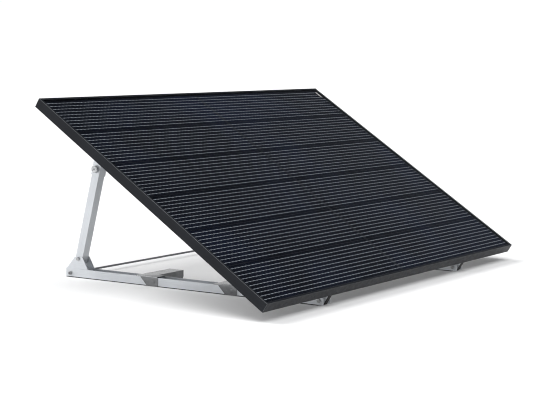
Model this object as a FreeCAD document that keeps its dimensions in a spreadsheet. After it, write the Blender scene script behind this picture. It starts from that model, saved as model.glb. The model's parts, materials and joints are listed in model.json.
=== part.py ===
"""Framed solar module on a tilted aluminium ground stand, in millimetres.

Frame: +Z up, ground at Z = 0, X along the module's long side, the module's low edge
towards -Y. The origin is the middle of the footprint, on the ground.
"""
import FreeCAD
import Part
import Sketcher
import os
import re

doc = FreeCAD.newDocument("solar_panel")
sheet = doc.addObject("Spreadsheet::Sheet", "sizes")

SIZES = {
    # module frame
    "module_length": 1722,
    "module_width": 1134,
    "frame_height": 35,
    "frame_wall": 1.6,
    "frame_lip": 8,
    "frame_chamber": 11,
    "shelf_height": 27.6,
    "long_flange": 30,
    "short_flange": 20,
    "mount_hole_inset": 20.5,
    "mount_hole_radius": 4.5,
    "key_leg": 45,
    "key_clearance": 0.1,
    # laminate
    "seal_edge": 1.6,
    "seal_bed": 0.5,
    "backsheet_thickness": 0.3,
    "foil_thickness": 0.45,
    "cell_thickness": 0.2,
    "ribbon_thickness": 0.25,
    "glass_thickness": 3.2,
    "cell_side": 182,
    "cell_half": 91,
    "cell_gap": 2,
    "row_gap": 3.4,
    "middle_gap": 14,
    "row_margin": 11,
    "column_margin": 12,
    "ribbon_count": 10,
    "ribbon_pitch": 17.35,
    "ribbon_width": 1.2,
    "ribbon_overrun": 5,
    "busbar_width": 5,
    "label_width": 9,
    "label_length": 34,
    "label_thickness": 0.1,
    "label_inset": 28,
    # junction boxes
    "box_length": 62,
    "box_width": 46,
    "box_height": 14,
    "box_wall": 2,
    "lid_thickness": 2,
    "terminal_length": 14,
    "terminal_width": 10,
    "terminal_height": 3,
    "diode_length": 8,
    "diode_width": 6,
    "diode_height": 4,
    "gland_radius": 6,
    "gland_flange_radius": 8,
    "gland_flange_length": 4,
    "gland_length": 18,
    "gland_bore_radius": 3.1,
    # tilt and hinge line
    "tilt": 33,
    "hinge_height": 17.7,
    "hinge_inset": 17,
    "hinge_drop": 29.5,
    "rail_x": 470,
    # upper rails under the module
    "upper_rail_width": 20,
    "upper_rail_depth": 38,
    "upper_rail_wall": 2,
    "upper_rail_overhang": 10,
    "plug_cap": 2,
    "plug_insert": 8,
    "plug_clearance": 0.1,
    "rivet_nut_radius": 5.5,
    "rivet_nut_bulge": 7,
    "rivet_nut_length": 12,
    "rivet_nut_bulge_length": 3,
    # base rails
    "pad_thickness": 3,
    "base_rail_width": 44,
    "base_rail_height": 30,
    "base_rail_wall": 2.5,
    "base_rail_nose": 16,
    "base_rail_nose_round": 12,
    "web_setback": 7,
    "base_rail_tail": 59,
    "anchor_hole_radius": 4.5,
    "anchor_front": 160,
    "anchor_rear": 100,
    # foot brackets
    "foot_height": 71,
    "foot_front": 47,
    "foot_end_gap": 1,
    "foot_sheet": 2.5,
    "foot_side_gap": 0.1,
    "ear_top": 8,
    "ear_front": 20,
    "ear_rear": 16,
    "ear_round": 9,
    "foot_rivet_radius": 3,
    "foot_rivet_head_radius": 5.5,
    "foot_rivet_head_height": 2.5,
    "foot_rivet_front": 25,
    "foot_rivet_rear": 18,
    "tie_rod_setback": 22,
    "tie_rod_height": 15,
    # ballast brackets
    "ballast_from_foot": 283,
    "ballast_spacing": 351,
    "ballast_sheet": 2.5,
    "ballast_shelf_depth": 66,
    "ballast_shelf_reach": 170,
    "ballast_flange_offset": 34,
    "ballast_flange_length": 78,
    "ballast_flange_cut": 29,
    "ballast_ground_gap": 1,
    "ballast_wall_round": 16,
    "ballast_bolt_inset": 20,
    "ballast_bolt_height": 18,
    "ballast_bolt_length": 16,
    "ballast_head_radius": 7,
    "ballast_head_height": 1.2,
    # struts
    "strut_lean": 15.3,
    "top_pivot_inset": 14,
    "tube_side_gap": 0.5,
    "tube_depth": 33,
    "tube_wall": 2,
    "tube_foot_end": 14,
    "tube_length": 432,
    "sleeve_gap": 0.4,
    "sleeve_wall": 1.8,
    "sleeve_start": 326,
    "sleeve_top_end": 15,
    "sleeve_fork": 30,
    "sleeve_round": 13,
    "open_pivot_radius": 5.6,
    "top_spacer_radius": 11,
    "clamp_height": 352,
    "clamp_boss_radius": 6,
    "clamp_boss_height": 3,
    "knob_radius": 14.5,
    "knob_thickness": 8,
    "knob_scallop_radius": 2.6,
    "knob_scallop_circle": 15.4,
    "knob_scallops": 8,
    # M8 fasteners and fits
    "bolt_radius": 4,
    "bolt_head_across_corners": 15,
    "bolt_head_height": 5.3,
    "nut_height": 6.5,
    "bolt_overrun": 3,
    "frame_bolt_length": 16,
    "hinge_spacer_radius": 8,
    "running_fit": 0.05,
    "play": 0.3,
}

# Lengths that follow from the sizes above.
RULES = {
    "half_length": "module_length / 2",
    "laminate_inset": "frame_wall + seal_edge",
    "backsheet_level": "shelf_height + seal_bed",
    "rear_foil_level": "backsheet_level + backsheet_thickness",
    "cell_level": "rear_foil_level + foil_thickness",
    "ribbon_level": "cell_level + cell_thickness",
    "front_foil_level": "ribbon_level + ribbon_thickness",
    "glass_level": "front_foil_level + foil_thickness",
    "column_pitch": "cell_half + cell_gap",
    "row_pitch": "cell_side + row_gap",
    "columns": "floor((half_length - column_margin - middle_gap / 2 + cell_gap) / column_pitch)",
    "rows": "2 * floor((module_width - 2 * row_margin + row_gap) / (2 * row_pitch))",
    "first_row": "(module_width - rows * row_pitch + row_gap) / 2",
    "string_end": "middle_gap / 2 + columns * column_pitch - cell_gap",
    "ribbon_margin": "(cell_side - (ribbon_count - 1) * ribbon_pitch) / 2",
    "box_floor": "backsheet_level - box_height",
    "module_reach": "hinge_inset * cos(tilt) + hinge_drop * sin(tilt)",
    "lip_reach": "module_reach + frame_height * sin(tilt)",
    "top_pivot_along": "module_width - top_pivot_inset",
    "top_arm": "top_pivot_along - hinge_inset",
    "top_lift": "hinge_drop - upper_rail_depth / 2",
    "top_rise": "top_arm * sin(tilt) + top_lift * cos(tilt)",
    "top_run": "top_arm * cos(tilt) - top_lift * sin(tilt)",
    "strut_rise": "top_rise + hinge_height - foot_height",
    "strut_length": "strut_rise / cos(strut_lean)",
    "foot_run": "top_run + strut_rise * tan(strut_lean)",
    "stand_depth": "lip_reach + foot_run + base_rail_tail",
    "hinge_y": "lip_reach - stand_depth / 2",
    "foot_y": "hinge_y + foot_run",
    "module_y": "hinge_y - module_reach",
    "module_z": "hinge_height - hinge_inset * sin(tilt) + hinge_drop * cos(tilt)",
    "upper_rail_end": "module_width + upper_rail_overhang",
    "base_rail_top": "pad_thickness + base_rail_height",
    "base_rail_floor": "pad_thickness + base_rail_wall",
    "base_rail_front": "hinge_y - base_rail_nose",
    "base_rail_rear": "foot_y + base_rail_tail",
    "base_rail_inner": "base_rail_width / 2 - base_rail_wall",
    "foot_half": "base_rail_inner - foot_side_gap",
    "tube_width": "2 * (foot_half - foot_sheet - tube_side_gap)",
    "foot_floor": "base_rail_floor + foot_sheet",
    "tie_rod_y": "base_rail_rear - tie_rod_setback",
    "sleeve_inner_x": "tube_width / 2 + sleeve_gap",
    "sleeve_inner_y": "tube_depth / 2 + sleeve_gap",
    "sleeve_outer_x": "sleeve_inner_x + sleeve_wall",
    "sleeve_outer_y": "sleeve_inner_y + sleeve_wall",
    "sleeve_end": "strut_length + sleeve_top_end",
    "clamp_face": "sleeve_outer_x + clamp_boss_height",
}

for row, (alias, value) in enumerate(SIZES.items(), start=1):
    sheet.set(f"A{row}", alias)
    sheet.set(f"B{row}", str(value))
    sheet.setAlias(f"B{row}", alias)
doc.recompute()

NODES = []
CUTS = []
SIDES = (("left", "-1"), ("right", "1"))


def bound(text):
    """Write an expression in plain names as one that reads the sheet's cells."""
    def cell(match):
        word = match.group(0)
        if word in RULES:
            return f"({bound(RULES[word])})"
        if word in SIZES:
            return f"sizes.{word}"
        return word
    return re.sub(r"[a-z][a-z_]*", cell, str(text))


def number(text):
    """The present value of an expression, in millimetres."""
    value = sheet.evalExpression(bound(text))
    return float(getattr(value, "Value", value))


def new_body(label, place=("0", "0", "0"), turn="0"):
    """Start a sub-part: a body of its own, placed by expressions and turned about X."""
    owner = doc.addObject("PartDesign::Body", label)
    owner.Label = label
    owner.AllowCompound = True
    owner.Placement = FreeCAD.Placement(FreeCAD.Vector(), FreeCAD.Rotation(FreeCAD.Vector(1, 0, 0), 0))
    for axis, value in zip("xyz", place):
        owner.setExpression(f"Placement.Base.{axis}", bound(value))
    owner.setExpression("Placement.Rotation.Angle", bound(turn))
    NODES.append(owner)
    return owner


def module_body(label):
    """A sub-part in the module's frame: X along it, Y up the slope, Z out of its underside."""
    return new_body(label, ("0", "module_y", "module_z"), "tilt")


def strut_body(label):
    """A sub-part in the struts' frame: origin on the foot pivot, Z up along the strut."""
    return new_body(label, ("0", "foot_y", "foot_height"), "strut_lean")


def add_polygon(flat, corners):
    """Add a closed outline whose corners are held by their two coordinates."""
    points = [FreeCAD.Vector(number(across), number(along), 0) for across, along in corners]
    first = flat.GeometryCount
    count = len(points)
    for index in range(count):
        flat.addGeometry(Part.LineSegment(points[index], points[(index + 1) % count]), False)
    for index, (across, along) in enumerate(corners):
        line = first + index
        following = first + (index + 1) % count
        flat.addConstraint(Sketcher.Constraint("Coincident", line, 2, following, 1))
        for kind, value in (("DistanceX", across), ("DistanceY", along)):
            held = flat.addConstraint(Sketcher.Constraint(kind, -1, 1, line, 1, number(value)))
            flat.setExpression(f"Constraints[{held}]", bound(value))


def add_circle(flat, across, along, radius):
    """Add a circle held by its centre and radius."""
    centre = FreeCAD.Vector(number(across), number(along), 0)
    ring = flat.addGeometry(Part.Circle(centre, FreeCAD.Vector(0, 0, 1), number(radius)), False)
    for kind, value in (("DistanceX", across), ("DistanceY", along)):
        held = flat.addConstraint(Sketcher.Constraint(kind, -1, 1, ring, 3, number(value)))
        flat.setExpression(f"Constraints[{held}]", bound(value))
    held = flat.addConstraint(Sketcher.Constraint("Radius", ring, number(radius)))
    flat.setExpression(f"Constraints[{held}]", bound(radius))


def draw(owner, axis, level, loops):
    """Sketch across one axis of the body, at a level measured along the sketch's normal."""
    role = {"x": "YZ_Plane", "y": "XZ_Plane", "z": "XY_Plane"}[axis]
    flat = owner.newObject("Sketcher::SketchObject", "outline")
    plane = next(item for item in owner.Origin.OriginFeatures if item.Role == role)
    flat.AttachmentSupport = [(plane, "")]
    flat.MapMode = "FlatFace"
    flat.setExpression("AttachmentOffset.Base.z", bound(level))
    for loop in loops:
        if isinstance(loop[0], str):
            add_circle(flat, *loop)
        else:
            add_polygon(flat, loop)
    return flat


def pad(owner, axis, start, length, loops):
    """Add material from start over length along an axis."""
    level = f"-({start}) - ({length})" if axis == "y" else start
    feature = owner.newObject("PartDesign::Pad", "pad")
    feature.Profile = draw(owner, axis, level, loops)
    feature.setExpression("Length", bound(length))
    return feature


def cut(owner, axis, start, length, loops):
    """Take material away from start over length along an axis."""
    level = f"-({start})" if axis == "y" else f"({start}) + ({length})"
    base = owner.Tip
    feature = owner.newObject("PartDesign::Pocket", "pocket")
    feature.Profile = draw(owner, axis, level, loops)
    feature.setExpression("Length", bound(length))
    CUTS.append((base, feature))
    return feature


def round_edges(owner, radius, chosen):
    """Round the straight edges that chosen() picks by their end points."""
    doc.recompute()
    base = owner.Tip
    names = []
    for index, edge in enumerate(base.Shape.Edges, start=1):
        ends = [vertex.Point for vertex in edge.Vertexes]
        if len(ends) == 2 and chosen(*ends):
            names.append(f"Edge{index}")
    feature = owner.newObject("PartDesign::Fillet", "rounding")
    feature.Base = (base, names)
    feature.setExpression("Radius", bound(radius))
    return feature


def repeat(owner, originals, steps, mirrored):
    """Repeat features in rows along the body's axes, and across X = 0 where asked."""
    origin = {item.Role: item for item in owner.Origin.OriginFeatures}
    whole = owner.newObject("PartDesign::MultiTransform", "pattern")
    moves = []
    for axis, pitch, count in steps:
        row = owner.newObject("PartDesign::LinearPattern", "row")
        row.Direction = (origin[axis], [""])
        row.setExpression("Length", bound(f"({pitch}) * (({count}) - 1)"))
        row.setExpression("Occurrences", bound(count))
        moves.append(row)
    if mirrored:
        mirror = owner.newObject("PartDesign::Mirrored", "mirror")
        mirror.MirrorPlane = (origin["YZ_Plane"], [""])
        moves.append(mirror)
    whole.Originals = originals
    whole.Transformations = moves
    owner.Tip = whole
    return whole


def box_outline(low_across, high_across, low_along, high_along):
    """A rectangle between two values each way."""
    return [(low_across, low_along), (high_across, low_along),
            (high_across, high_along), (low_across, high_along)]


def centred_outline(across, along, half_across, half_along):
    """A rectangle about a centre."""
    return box_outline(f"{across} - ({half_across})", f"{across} + ({half_across})",
                       f"{along} - ({half_along})", f"{along} + ({half_along})")


def hexagon(across, along):
    """The outline of a bolt head or nut about a centre."""
    reach = "bolt_head_across_corners / 2"
    return [(f"{across} + {reach} * cos({angle})", f"{along} + {reach} * sin({angle})")
            for angle in range(0, 360, 60)]


def outward(sign, near, far):
    """Start and length along X of a stretch that lies between two distances from X = 0."""
    start = near if sign == "1" else f"-({far})"
    return start, f"({far}) - ({near})"


def cross_bolt(owner, sign, along, height, head, tip, nut):
    """A bolt along X: its head seats at one distance from X = 0, its nut at another."""
    pad(owner, "x", *outward(sign, head, f"{head} + bolt_head_height"), [hexagon(along, height)])
    pad(owner, "x", *outward(sign, tip, head), [(along, height, "bolt_radius")])
    pad(owner, "x", *outward(sign, f"{nut} - nut_height", nut),
        [hexagon(along, height), (along, height, "bolt_radius + running_fit")])


def frame_profile(side, place):
    """Outline and chamber of the frame's section; place() puts a distance in from outside."""
    flange = f"{side}_flange"
    outline = [("0", "0"), (flange, "0"), (flange, "frame_wall"), ("frame_chamber", "frame_wall"),
               ("frame_chamber", "shelf_height"), ("frame_wall", "shelf_height"),
               ("frame_wall", "frame_height - frame_wall"),
               ("frame_lip", "frame_height - frame_wall"),
               ("frame_lip", "frame_height"), ("0", "frame_height")]
    chamber = box_outline("frame_wall", "frame_chamber - frame_wall",
                          "frame_wall", "shelf_height - frame_wall")
    return [[(place(across), height) for across, height in loop] for loop in (outline, chamber)]


def make_long_frame(label, place):
    """A long side of the frame, mitred at both ends and drilled for the upper rails."""
    owner = module_body(label)
    pad(owner, "x", "-half_length", "module_length", frame_profile("long", place))
    mitres = [[(f"{sign} * half_length", place("0")), (f"{sign} * half_length", place("long_flange")),
               (f"{sign} * (half_length - long_flange)", place("long_flange"))] for _, sign in SIDES]
    cut(owner, "z", "0", "frame_height", mitres)
    cut(owner, "z", "0", "frame_wall",
        [(f"{sign} * rail_x", place("mount_hole_inset"), "mount_hole_radius") for _, sign in SIDES])


def make_short_frame(label, sign):
    """A short side of the frame, mitred at both ends."""
    owner = module_body(label)

    def place(across):
        return f"{sign} * (half_length - ({across}))"

    pad(owner, "y", "0", "module_width", frame_profile("short", place))
    mitres = [[(place("0"), edge), (place("short_flange"), edge),
               (place("short_flange"), f"{edge} + {inward} * short_flange")]
              for edge, inward in (("0", "1"), ("module_width", "-1"))]
    cut(owner, "z", "0", "frame_height", mitres)


def make_frame():
    """The four mitred sides and the keys that join them."""
    make_long_frame("frame_lower", lambda across: across)
    make_long_frame("frame_upper", lambda across: f"module_width - ({across})")
    make_short_frame("frame_left", "-1")
    make_short_frame("frame_right", "1")
    owner = module_body("corner_keys")
    near = "frame_wall + key_clearance"
    far = "frame_chamber - frame_wall - key_clearance"
    keys = []
    for _, sign in SIDES:
        for edge, inward in (("0", "1"), ("module_width", "-1")):
            corner = [(near, near), (f"{near} + key_leg", near), (f"{near} + key_leg", far),
                      (far, far), (far, f"{near} + key_leg"), (near, f"{near} + key_leg")]
            keys.append([(f"{sign} * (half_length - ({across}))", f"{edge} + {inward} * ({along})")
                         for across, along in corner])
    pad(owner, "z", near, f"shelf_height - 2 * ({near})", keys)


def make_slab(label, level, thickness):
    """One full sheet of the laminate."""
    owner = module_body(label)
    outline = box_outline("-half_length + laminate_inset", "half_length - laminate_inset",
                          "laminate_inset", "module_width - laminate_inset")
    pad(owner, "z", level, thickness, [outline])
    return owner


def make_laminate():
    """Glass, foils, cells, ribbons, busbars, backsheet and the seal round their edge."""
    make_slab("backsheet", "backsheet_level", "backsheet_thickness")
    make_slab("rear_encapsulant", "rear_foil_level", "foil_thickness")
    make_slab("front_encapsulant", "front_foil_level", "foil_thickness")
    make_slab("front_glass", "glass_level", "glass_thickness")

    cells = module_body("solar_cells")
    cell = pad(cells, "z", "cell_level", "cell_thickness",
               [box_outline("middle_gap / 2", "middle_gap / 2 + cell_half",
                            "first_row", "first_row + cell_side")])
    repeat(cells, [cell], [("X_Axis", "column_pitch", "columns"), ("Y_Axis", "row_pitch", "rows")], True)

    ribbons = module_body("cell_ribbons")
    ribbon = pad(ribbons, "z", "ribbon_level", "ribbon_thickness",
                 [box_outline("middle_gap / 2 - ribbon_overrun", "string_end + ribbon_overrun",
                              "first_row + ribbon_margin - ribbon_width / 2",
                              "first_row + ribbon_margin + ribbon_width / 2")])
    repeat(ribbons, [ribbon], [("Y_Axis", "ribbon_pitch", "ribbon_count"),
                               ("Y_Axis", "row_pitch", "rows")], True)

    busbars = module_body("string_busbars")
    end_bar = pad(busbars, "z", "cell_level", "cell_thickness",
                  [box_outline("string_end + ribbon_overrun - busbar_width", "string_end + ribbon_overrun",
                               "first_row + ribbon_margin / 2",
                               "first_row + row_pitch + cell_side - ribbon_margin / 2")])
    repeat(busbars, [end_bar], [("Y_Axis", "2 * row_pitch", "rows / 2")], True)
    middle_bar = pad(busbars, "z", "cell_level", "cell_thickness",
                     [box_outline("-busbar_width / 2", "busbar_width / 2",
                                  "first_row + row_pitch + ribbon_margin / 2",
                                  "first_row + 2 * row_pitch + cell_side - ribbon_margin / 2")])
    repeat(busbars, [middle_bar], [("Y_Axis", "2 * row_pitch", "rows / 2 - 1")], False)
    last_row = "first_row + (rows - 1) * row_pitch"
    pad(busbars, "z", "cell_level", "cell_thickness",
        [box_outline("-busbar_width / 2", "busbar_width / 2",
                     f"{start} + ribbon_margin / 2", f"{start} + cell_side - ribbon_margin / 2")
         for start in ("first_row", last_row)])

    seal = module_body("frame_sealant")
    pad(seal, "z", "shelf_height", "frame_height - frame_wall - shelf_height",
        [box_outline("-half_length + frame_wall", "half_length - frame_wall",
                     "frame_wall", "module_width - frame_wall"),
         box_outline("-half_length + frame_lip", "half_length - frame_lip",
                     "frame_lip", "module_width - frame_lip")])
    cut(seal, "z", "backsheet_level", "glass_level + glass_thickness - backsheet_level",
        [box_outline("-half_length + laminate_inset", "half_length - laminate_inset",
                     "laminate_inset", "module_width - laminate_inset")])

    label = module_body("plain_label")
    pad(label, "z", "glass_level + glass_thickness", "label_thickness",
        [box_outline("half_length - label_inset - label_width", "half_length - label_inset",
                     "module_width - label_inset - label_length", "module_width - label_inset")])


def make_junction_boxes():
    """Three boxes on the backsheet, each with a lid, two terminals and a bypass diode."""
    middle = "module_width / 2"
    places = {"lower": f"{middle} - 2 * row_pitch", "middle": middle, "upper": f"{middle} + 2 * row_pitch"}
    out_of_box = {"lower": "-1", "upper": "1"}
    outer = ("box_length / 2", "box_width / 2")
    inner = ("box_length / 2 - box_wall", "box_width / 2 - box_wall")
    gland_height = "box_floor + box_height / 2 - box_wall / 2"
    for name, along in places.items():
        box = module_body(f"junction_box_{name}")
        pad(box, "z", "box_floor", "box_height", [centred_outline("0", along, *outer)])
        cut(box, "z", "box_floor", "box_height - box_wall", [centred_outline("0", along, *inner)])
        if name in out_of_box:
            wall = f"{along} + {out_of_box[name]} * (box_width / 2 - box_wall / 2)"
            cut(box, "y", f"{wall} - box_wall", "2 * box_wall", [("0", gland_height, "gland_bore_radius")])
        lid = module_body(f"junction_lid_{name}")
        pad(lid, "z", "box_floor - lid_thickness", "lid_thickness", [centred_outline("0", along, *outer)])

    for name, side in out_of_box.items():
        gland = module_body(f"cable_gland_{name}")
        face = f"{places[name]} + {side} * box_width / 2"
        for length, radius in (("gland_flange_length", "gland_flange_radius"),
                               ("gland_length", "gland_radius")):
            start = face if side == "1" else f"{face} - {length}"
            pad(gland, "y", start, length, [("0", gland_height, radius)])
        start = face if side == "1" else f"{face} - gland_length"
        cut(gland, "y", start, "gland_length", [("0", gland_height, "gland_bore_radius")])

    ceiling = "backsheet_level - box_wall"
    terminals = module_body("junction_terminals")
    pad(terminals, "z", f"{ceiling} - terminal_height", "terminal_height",
        [centred_outline(f"{sign} * (diode_length + terminal_length) / 2", along,
                         "terminal_length / 2", "terminal_width / 2")
         for along in places.values() for _, sign in SIDES])
    diodes = module_body("bypass_diodes")
    pad(diodes, "z", f"{ceiling} - diode_height", "diode_height",
        [centred_outline("0", along, "diode_length / 2", "diode_width / 2")
         for along in places.values()])


def make_upper_rails():
    """The two tubes under the module, their end plugs and the bolts that hold the frame."""
    half = "upper_rail_width / 2"
    holes = ("mount_hole_inset", "module_width - mount_hole_inset")
    for side, sign in SIDES:
        centre = f"{sign} * rail_x"
        rail = module_body(f"upper_rail_{side}")
        inner = ("upper_rail_wall", "upper_rail_width / 2 - upper_rail_wall")
        pad(rail, "y", "plug_cap", "upper_rail_end - plug_cap",
            [box_outline(f"{centre} - {half}", f"{centre} + {half}", "-upper_rail_depth", "0"),
             box_outline(f"{centre} - ({inner[1]})", f"{centre} + ({inner[1]})",
                         f"-upper_rail_depth + {inner[0]}", f"-{inner[0]}")])
        cut(rail, "x", f"{centre} - {half}", "upper_rail_width",
            [("hinge_inset", "-hinge_drop", "bolt_radius + running_fit"),
             ("top_pivot_along", "-upper_rail_depth / 2", "open_pivot_radius")])
        cut(rail, "z", "-upper_rail_wall", "upper_rail_wall",
            [(centre, along, "rivet_nut_radius") for along in holes])

    plugs = module_body("upper_rail_plugs")
    sections = {
        "cap": ("upper_rail_width / 2", "upper_rail_depth / 2"),
        "insert": ("upper_rail_width / 2 - upper_rail_wall - plug_clearance",
                   "upper_rail_depth / 2 - upper_rail_wall - plug_clearance"),
    }
    stretches = (("cap", "0", "plug_cap"), ("insert", "plug_cap", "plug_insert"),
                 ("insert", "upper_rail_end - plug_insert", "plug_insert"),
                 ("cap", "upper_rail_end", "plug_cap"))
    for section, start, length in stretches:
        pad(plugs, "y", start, length,
            [centred_outline(f"{sign} * rail_x", "-upper_rail_depth / 2", *sections[section])
             for _, sign in SIDES])

    spots = [(f"{sign} * rail_x", along) for _, sign in SIDES for along in holes]
    bolts = module_body("frame_bolts")
    pad(bolts, "z", "frame_wall", "bolt_head_height", [hexagon(*spot) for spot in spots])
    pad(bolts, "z", "frame_wall - frame_bolt_length", "frame_bolt_length",
        [(*spot, "bolt_radius") for spot in spots])
    nuts = module_body("rivet_nuts")
    bore = "bolt_radius + running_fit"
    pad(nuts, "z", "-rivet_nut_length", "rivet_nut_length",
        [(*spot, radius) for spot in spots for radius in ("rivet_nut_radius", bore)])
    pad(nuts, "z", "-upper_rail_wall - rivet_nut_bulge_length", "rivet_nut_bulge_length",
        [(*spot, radius) for spot in spots for radius in ("rivet_nut_bulge", bore)])


def make_base_rails():
    """The two ground rails and the rubber strips under them."""
    half = "base_rail_width / 2"
    anchors = ("hinge_y + anchor_front", "foot_y - anchor_rear")
    web_start = "hinge_y + web_setback"
    for side, sign in SIDES:
        centre = f"{sign} * rail_x"
        rail = new_body(f"base_rail_{side}")
        pad(rail, "y", "base_rail_front", "base_rail_rear - base_rail_front",
            [box_outline(f"{centre} - {half}", f"{centre} + {half}", "pad_thickness", "base_rail_top")])
        cut(rail, "y", "base_rail_front", "base_rail_rear - base_rail_front",
            [box_outline(f"{centre} - base_rail_inner", f"{centre} + base_rail_inner",
                         "base_rail_floor", "base_rail_top")])
        cut(rail, "z", "pad_thickness", "base_rail_wall",
            [box_outline(f"{centre} - base_rail_inner", f"{centre} + base_rail_inner",
                         "base_rail_front", web_start)])
        cut(rail, "z", "pad_thickness", "base_rail_wall",
            [(centre, along, "anchor_hole_radius") for along in anchors])
        cut(rail, "x", f"{centre} - {half}", "base_rail_width",
            [("hinge_y", "hinge_height", "bolt_radius + running_fit"),
             ("tie_rod_y", "tie_rod_height", "bolt_radius + running_fit")])
        ballast_wall = outward(sign, "rail_x + base_rail_inner", f"rail_x + {half}")
        cut(rail, "x", *ballast_wall,
            [(f"{start} + ballast_bolt_inset", "ballast_bolt_height", "bolt_radius + running_fit")
             for start in ballast_flange_starts()])
        front = number("base_rail_front")
        top = number("base_rail_top")
        round_edges(rail, "base_rail_nose_round",
                    lambda one, two: all(abs(end.y - front) < 0.01 and abs(end.z - top) < 0.01
                                         for end in (one, two)))
        strip = new_body(f"rail_pad_{side}")
        pad(strip, "z", "0", "pad_thickness",
            [box_outline(f"{centre} - {half}", f"{centre} + {half}", web_start, "base_rail_rear"),
             *((centre, along, "anchor_hole_radius") for along in anchors)])


def make_feet():
    """The folded brackets that carry the struts, their rivets and the tie rod."""
    front = "foot_y - foot_front"
    rear = "base_rail_rear - foot_end_gap"
    ear_level = "foot_height + ear_top"
    rivets = ("foot_y - foot_rivet_front", "foot_y + foot_rivet_rear")
    for side, sign in SIDES:
        centre = f"{sign} * rail_x"
        foot = new_body(f"foot_bracket_{side}")
        pad(foot, "x", f"{centre} - foot_half", "2 * foot_half",
            [[(front, "base_rail_floor"), (rear, "base_rail_floor"), (rear, "base_rail_top"),
              ("foot_y + ear_rear", ear_level), ("foot_y - ear_front", ear_level),
              (front, "base_rail_top")]])
        inner = "foot_half - foot_sheet"
        cut(foot, "y", front, f"{rear} - ({front})",
            [box_outline(f"{centre} - ({inner})", f"{centre} + ({inner})", "foot_floor", ear_level)])
        cut(foot, "x", f"{centre} - foot_half", "2 * foot_half",
            [("foot_y", "foot_height", "bolt_radius + running_fit"),
             ("tie_rod_y", "tie_rod_height", "bolt_radius + running_fit")])
        cut(foot, "z", "base_rail_floor", "foot_sheet",
            [(centre, along, "foot_rivet_radius") for along in rivets])
        level = number(ear_level)
        round_edges(foot, "ear_round",
                    lambda one, two: all(abs(end.z - level) < 0.01 for end in (one, two))
                    and abs(one.y - two.y) < 0.01)

    riveted = new_body("foot_rivets")
    spots = [(f"{sign} * rail_x", along) for _, sign in SIDES for along in rivets]
    pad(riveted, "z", "base_rail_floor", "foot_sheet", [(*spot, "foot_rivet_radius") for spot in spots])
    pad(riveted, "z", "foot_floor", "foot_rivet_head_height",
        [(*spot, "foot_rivet_head_radius") for spot in spots])

    rod = new_body("rear_tie_rod")
    rod_end = "rail_x + base_rail_width / 2 + nut_height + bolt_overrun"
    pad(rod, "x", f"-({rod_end})", f"2 * ({rod_end})", [("tie_rod_y", "tie_rod_height", "bolt_radius")])
    nuts = new_body("tie_rod_nuts")
    for _, sign in SIDES:
        for near in ("rail_x + base_rail_width / 2", "rail_x - base_rail_width / 2 - nut_height"):
            pad(nuts, "x", *outward(sign, near, f"{near} + nut_height"),
                [hexagon("tie_rod_y", "tie_rod_height"),
                 ("tie_rod_y", "tie_rod_height", "bolt_radius + running_fit")])


def ballast_rear_edges():
    """Where the rear edges of the ballast shelves lie along Y, front one first."""
    return ("foot_y - ballast_from_foot - ballast_spacing", "foot_y - ballast_from_foot")


def ballast_flange_starts():
    """Where the side flanges of the ballast brackets begin along Y."""
    return [f"{rear} - ballast_shelf_depth - ballast_flange_offset" for rear in ballast_rear_edges()]


def make_ballast_brackets():
    """Four folded brackets that hook over the rails and carry the ballast."""
    outer = "rail_x + base_rail_width / 2 + ballast_sheet"
    rail_side = "rail_x - base_rail_width / 2"
    tip = "rail_x - ballast_shelf_reach"
    level = "base_rail_top"
    for side, sign in SIDES:
        for name, rear, start in zip(("front", "rear"), ballast_rear_edges(), ballast_flange_starts()):
            bracket = new_body(f"ballast_bracket_{side}_{name}")
            shelf = f"{rear} - ballast_shelf_depth"
            plate = [(outer, start), (rail_side, start), (rail_side, shelf), (tip, shelf),
                     (tip, rear), (outer, rear)]
            pad(bracket, "z", level, "ballast_sheet",
                [[(f"{sign} * ({across})", along) for across, along in plate]])
            end = f"{start} + ballast_flange_length"
            pad(bracket, "x", *outward(sign, f"{outer} - ballast_sheet", outer),
                [[(start, "ballast_ground_gap"), (f"{end} - ballast_flange_cut", "ballast_ground_gap"),
                  (end, "ballast_ground_gap + ballast_flange_cut"), (end, level), (start, level)]])
            pad(bracket, "y", shelf, "ballast_sheet",
                [[(f"{sign} * ({across})", height) for across, height in
                  ((tip, level), (tip, "ballast_ground_gap"), (rail_side, "ballast_ground_gap"),
                   (rail_side, level))]])
            cut(bracket, "x", *outward(sign, f"{outer} - ballast_sheet", outer),
                [(f"{start} + ballast_bolt_inset", "ballast_bolt_height", "bolt_radius + running_fit")])
            edge = number(f"{sign} * ({tip})")
            low = number("ballast_ground_gap")
            round_edges(bracket, "ballast_wall_round",
                        lambda one, two: all(abs(point.x - edge) < 0.01 and abs(point.z - low) < 0.01
                                             for point in (one, two)))

    bolts = new_body("ballast_bracket_bolts")
    nut = "rail_x + base_rail_inner"
    for _, sign in SIDES:
        for start in ballast_flange_starts():
            spot = (f"{start} + ballast_bolt_inset", "ballast_bolt_height")
            pad(bolts, "x", *outward(sign, outer, f"{outer} + ballast_head_height"),
                [(*spot, "ballast_head_radius")])
            pad(bolts, "x", *outward(sign, f"{outer} - ballast_bolt_length", outer),
                [(*spot, "bolt_radius")])
            pad(bolts, "x", *outward(sign, f"{nut} - nut_height", nut),
                [hexagon(*spot), (*spot, "bolt_radius + running_fit")])


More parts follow.
